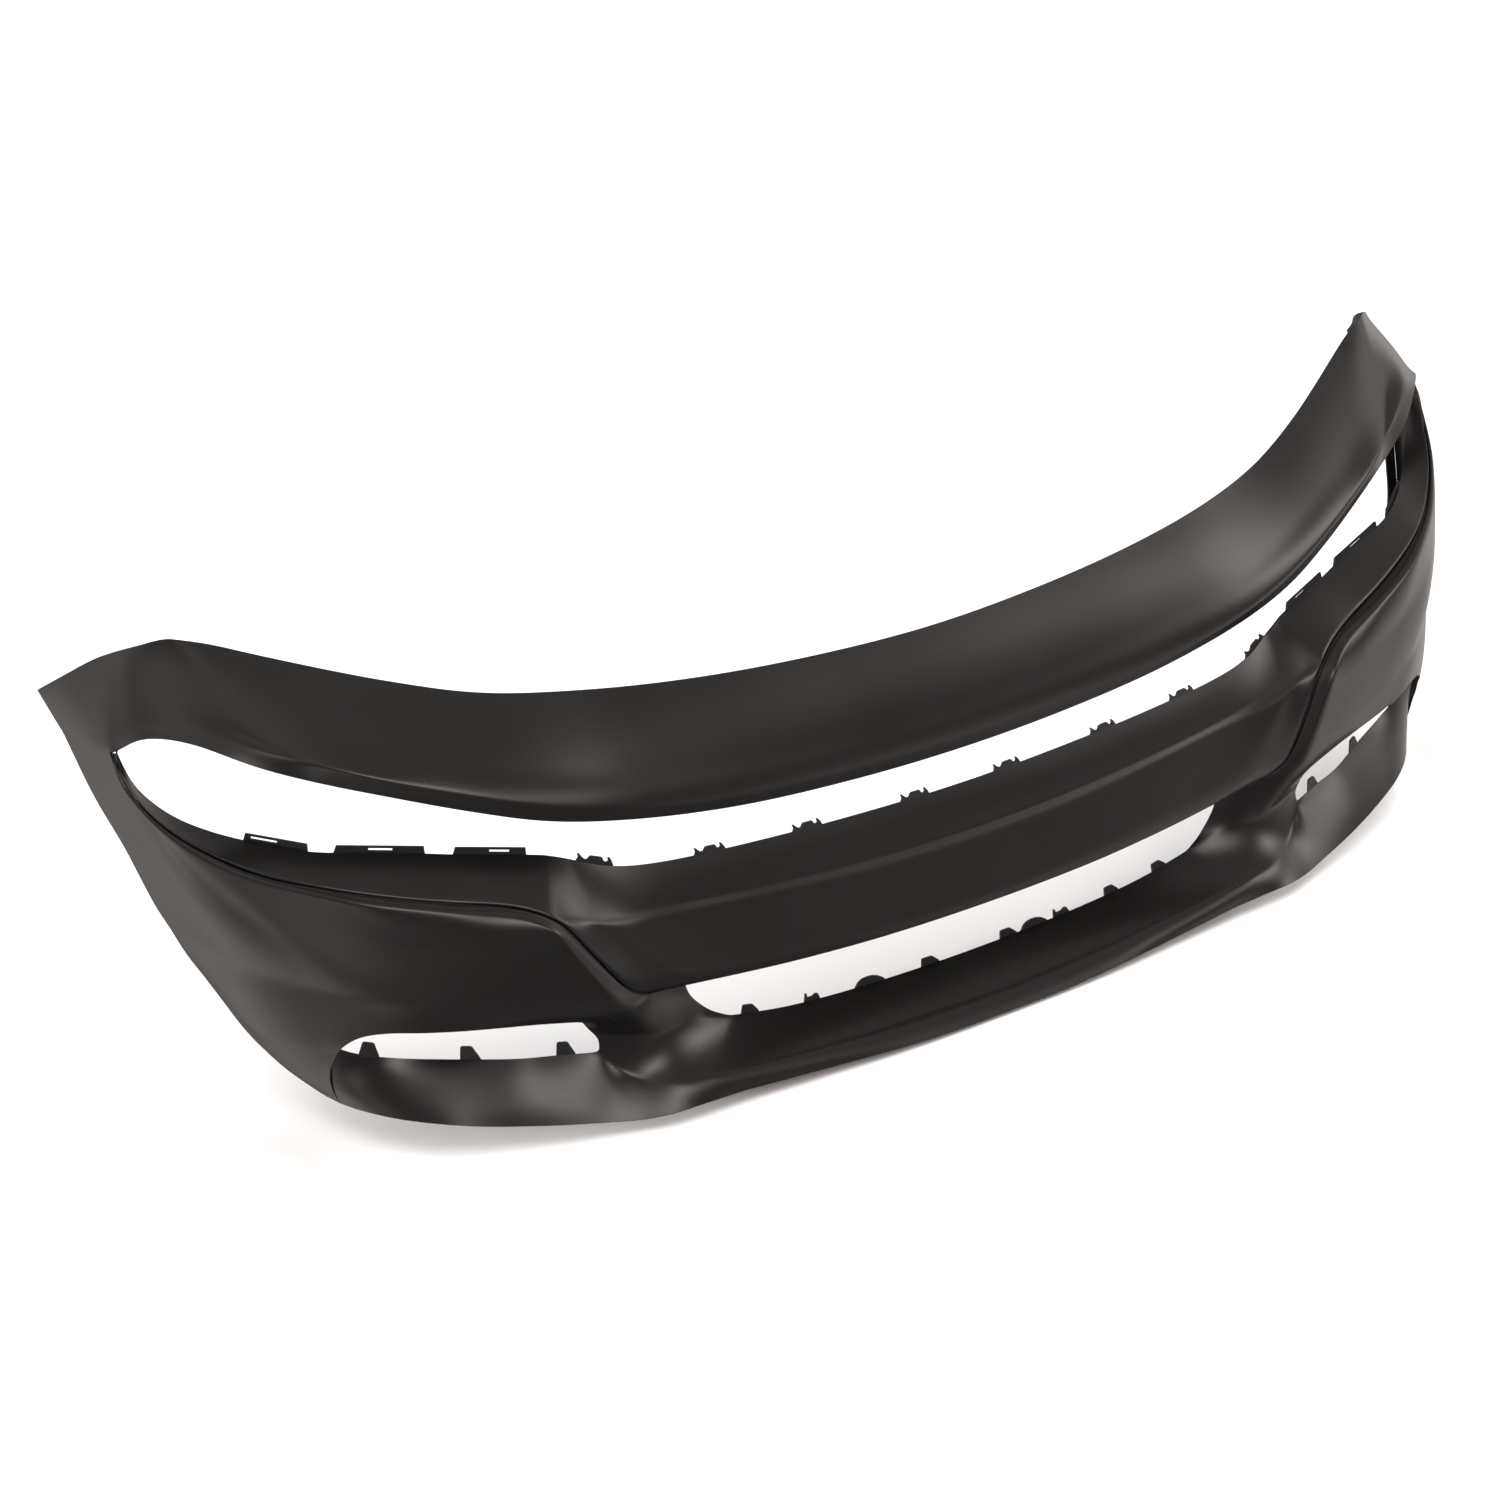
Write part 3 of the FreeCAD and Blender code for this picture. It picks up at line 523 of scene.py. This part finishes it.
# Open edges of the whole skin get a rounded rim; the direction out of the sheet is kept for them.
edge_count = edge_uses(skin_faces)
outward = {}
for polygon in skin_faces:
    for a, b in zip(polygon, polygon[1:] + polygon[:1]):
        if edge_count[(min(a, b), max(a, b))] == 1:
            run = skin_points[b] - skin_points[a]
            for vertex in (a, b):
                aside = np.cross(run, skin_normals[vertex])
                aside /= np.linalg.norm(aside) + 1e-12
                outward[vertex] = outward.get(vertex, 0) + aside
outward = {vertex: aside / (np.linalg.norm(aside) + 1e-12) for vertex, aside in outward.items()}

RIM_BULGE = 0.6 * MM
RIM_SETBACK = 0.3 * MM
RIM_STEPS = 4


def rim_chain(vertex):
    """(point, normal) pairs from the outside to the inside of the wall at one vertex."""
    point = skin_points[vertex]
    normal = skin_normals[vertex]
    if vertex not in outward:
        return [(point, normal), (point - normal * WALL * MM, -normal)]
    aside = outward[vertex]
    start = point - aside * RIM_SETBACK
    chain = []
    for k in range(RIM_STEPS + 1):
        turn = math.pi * k / RIM_STEPS
        depth = WALL * MM / 2 * (1 - math.cos(turn))
        chain.append((start + aside * RIM_BULGE * math.sin(turn) - normal * depth,
                      normal * math.cos(turn) + aside * math.sin(turn)))
    return chain


def wall_piece(name, owner):
    """A closed wall for one face of the skin, shaded as part of the whole."""
    chosen = [polygon for polygon, who in zip(skin_faces, skin_owner) if who == owner]
    border = {}
    for polygon in chosen:
        for a, b in zip(polygon, polygon[1:] + polygon[:1]):
            if (b, a) in border:
                del border[(b, a)]
            else:
                border[(a, b)] = True
    points = []
    point_normals = []
    chains = {}
    for polygon in chosen:
        for vertex in polygon:
            if vertex not in chains:
                ids = []
                for position, normal in rim_chain(vertex):
                    ids.append(len(points))
                    points.append(position)
                    point_normals.append(normal)
                chains[vertex] = ids
    polygons = []
    for polygon in chosen:
        polygons.append([chains[vertex][0] for vertex in polygon])
        polygons.append([chains[vertex][-1] for vertex in reversed(polygon)])
    for a, b in border:
        first = chains[a]
        second = chains[b]
        if edge_count[(min(a, b), max(a, b))] == 1:
            for k in range(RIM_STEPS):
                polygons.append([second[k], first[k], first[k + 1], second[k + 1]])
    flat_start = len(polygons)
    for a, b in border:
        if edge_count[(min(a, b), max(a, b))] > 1:
            polygons.append([chains[b][0]] + chains[a] + chains[b][:0:-1])
    mesh = bpy.data.meshes.new(name)
    mesh.from_pydata([tuple(p) for p in points], [], polygons)
    mesh.polygons.foreach_set("use_smooth", [True] * len(mesh.polygons))
    loop_normals = []
    for number, polygon in enumerate(mesh.polygons):
        if number < flat_start:
            loop_normals += [tuple(point_normals[vertex]) for vertex in polygon.vertices]
        else:
            loop_normals += [tuple(polygon.normal)] * len(polygon.vertices)
    mesh.normals_split_custom_set(loop_normals)
    piece = bpy.data.objects.new(name, mesh)
    bpy.context.scene.collection.objects.link(piece)
    return piece


# ---- Materials ----------------------------------------------------------------------------------
def plastic(name, colour, roughness, grain, mottling):
    """Black moulded plastic: a fine grain in the surface, and slow changes in its sheen."""
    material = bpy.data.materials.new(name)
    material.use_nodes = True
    tree = material.node_tree
    shader = tree.nodes["Principled BSDF"]
    shader.inputs["Base Color"].default_value = (*colour, 1)
    shader.inputs["IOR"].default_value = 1.52
    coordinates = tree.nodes.new("ShaderNodeTexCoord")
    sheen = tree.nodes.new("ShaderNodeTexNoise")
    sheen.inputs["Scale"].default_value = 9.0
    sheen.inputs["Detail"].default_value = 4.0
    tree.links.new(coordinates.outputs["Object"], sheen.inputs["Vector"])
    spread = tree.nodes.new("ShaderNodeMapRange")
    spread.inputs["To Min"].default_value = roughness - mottling
    spread.inputs["To Max"].default_value = roughness + mottling
    tree.links.new(sheen.outputs["Fac"], spread.inputs["Value"])
    tree.links.new(spread.outputs["Result"], shader.inputs["Roughness"])
    fine = tree.nodes.new("ShaderNodeTexNoise")
    fine.inputs["Scale"].default_value = 900.0
    fine.inputs["Detail"].default_value = 2.0
    tree.links.new(coordinates.outputs["Object"], fine.inputs["Vector"])
    bump = tree.nodes.new("ShaderNodeBump")
    bump.inputs["Strength"].default_value = grain
    bump.inputs["Distance"].default_value = 0.0002
    tree.links.new(fine.outputs["Fac"], bump.inputs["Height"])
    tree.links.new(bump.outputs["Normal"], shader.inputs["Normal"])
    return material


skin_plastic = plastic("primed_plastic", (0.0070, 0.0066, 0.0062), 0.27, 0.08, 0.03)
flange_plastic = plastic("bare_plastic", (0.012, 0.012, 0.012), 0.5, 0.3, 0.05)
clip_plastic = plastic("clip_plastic", (0.014, 0.014, 0.014), 0.45, 0.2, 0.05)

for owner, name in enumerate(names):
    piece = wall_piece("skin_" + name, owner)
    piece.data.materials.append(skin_plastic)
    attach(piece, "root")
    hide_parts(name)

TRIM = ("grille_clips", "lower_grille_tabs", "right_lamp_tabs", "left_lamp_tabs", "right_fog_tabs",
        "left_fog_tabs")
for name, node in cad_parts.items():
    if name in names:
        continue
    for place_for in node.material_slots:
        place_for.link = "OBJECT"
        place_for.material = clip_plastic if name in TRIM else flange_plastic

# ---- Floor, light and camera --------------------------------------------------------------------
FLOOR_SIZE = 30.0
floor_mesh = bpy.data.meshes.new("floor")
half = FLOOR_SIZE / 2
floor_corners = [(-half, -half, 0), (half, -half, 0), (half, half, 0), (-half, half, 0)]
floor_mesh.from_pydata(floor_corners, [], [(0, 1, 2, 3)])
floor = bpy.data.objects.new("floor", floor_mesh)
bpy.context.scene.collection.objects.link(floor)
floor_material = bpy.data.materials.new("floor")
floor_material.use_nodes = True
floor_shader = floor_material.node_tree.nodes["Principled BSDF"]
floor_shader.inputs["Base Color"].default_value = (0.86, 0.86, 0.86, 1)
floor_shader.inputs["Roughness"].default_value = 0.9
floor_mesh.materials.append(floor_material)

world = bpy.data.worlds.new("studio")
bpy.context.scene.world = world
world.use_nodes = True
sky = world.node_tree
background = sky.nodes["Background"]
background.inputs["Color"].default_value = (1.0, 0.93, 0.89, 1)
directions = sky.nodes.new("ShaderNodeTexCoord")
# Soft bright areas round the studio, as the cover mirrors them: azimuth from its front towards +X and
# elevation, both in degrees, then brightness and narrowness
SOFT_AREAS = [(1, 40, 8.0, 85), (56, 30, 6.0, 70), (72, 33, 1.4, 70), (-100, -36, 1.5, 5),
              (65, -23, 1.0, 12), (-136, 3, 0.7, 8), (-55, 66, 0.55, 8), (32, -6, 0.7, 40),
              (-42, -8, 1.0, 26), (103, 13, 1.7, 14), (110, 55, 0.3, 10), (112, -25, 0.7, 12),
              (-104, 48, 0.6, 14)]
SKY_BASE = 0.19                 # brightness between the soft areas
SKY_SEEN = 1.15                 # brightness of the background as the camera sees it


def sky_math(operation, first, second):
    """The result of a sum of two values or node outputs, in the sky's node tree."""
    node = sky.nodes.new("ShaderNodeMath")
    node.operation = operation
    for socket, value in zip(node.inputs, (first, second)):
        if isinstance(value, (int, float)):
            socket.default_value = value
        else:
            sky.links.new(value, socket)
    return node.outputs["Value"]


glow = SKY_BASE
for azimuth, elevation, brightness, narrowness in SOFT_AREAS:
    turn = math.radians(azimuth)
    rise = math.radians(elevation)
    towards = sky.nodes.new("ShaderNodeVectorMath")
    towards.operation = "DOT_PRODUCT"
    sky.links.new(directions.outputs["Generated"], towards.inputs[0])
    towards.inputs[1].default_value = (math.sin(turn) * math.cos(rise), -math.cos(turn) * math.cos(rise),
                                       math.sin(rise))
    facing = sky_math("MAXIMUM", towards.outputs["Value"], 0.0)
    spot = sky_math("MULTIPLY", sky_math("POWER", facing, narrowness), brightness)
    glow = sky_math("ADD", spot, glow)
# Seen directly, past the edge of the floor, the studio is plain and pale
ray = sky.nodes.new("ShaderNodeLightPath")
shown = sky_math("MULTIPLY", ray.outputs["Is Camera Ray"], SKY_SEEN)
unseen = sky_math("SUBTRACT", 1.0, ray.outputs["Is Camera Ray"])
sky.links.new(sky_math("ADD", shown, sky_math("MULTIPLY", unseen, glow)), background.inputs["Strength"])


# One broad soft light from above lights the floor evenly. Neither is mirrored in the gloss.
OVERHEAD_STRENGTH = 3.6
OVERHEAD_SPREAD = math.radians(75)
OVERHEAD_TILT = math.radians(-8)
overhead_light = bpy.data.lights.new("overhead", "SUN")
overhead_light.energy = OVERHEAD_STRENGTH
overhead_light.angle = OVERHEAD_SPREAD
overhead = bpy.data.objects.new("overhead", overhead_light)
bpy.context.scene.collection.objects.link(overhead)
overhead.rotation_euler = (OVERHEAD_TILT, 0, 0)
overhead.visible_glossy = False
floor.visible_glossy = False

# The camera's place in millimetres from the datum, and the directions of its right and top edges
CAMERA_X = -1721.0
CAMERA_Y = -2526.0
CAMERA_Z = 1759.0
CAMERA_RIGHT = Vector((0.860, -0.509, -0.032))
CAMERA_UP = Vector((0.273, 0.407, 0.872))
LENS = 72.0
SENSOR = 36.0
camera_data = bpy.data.cameras.new("camera")
camera_data.lens = LENS
camera_data.sensor_width = SENSOR
camera = bpy.data.objects.new("camera", camera_data)
bpy.context.scene.collection.objects.link(camera)
right = CAMERA_RIGHT.normalized()
up = (CAMERA_UP - right * CAMERA_UP.dot(right)).normalized()
back = right.cross(up)
turn = Matrix((right, up, back)).transposed().to_4x4()
turn.translation = Vector(place(Vector((CAMERA_X, CAMERA_Y, CAMERA_Z))))
camera.matrix_world = turn
bpy.context.scene.camera = camera
bpy.context.scene.view_settings.view_transform = "Standard"
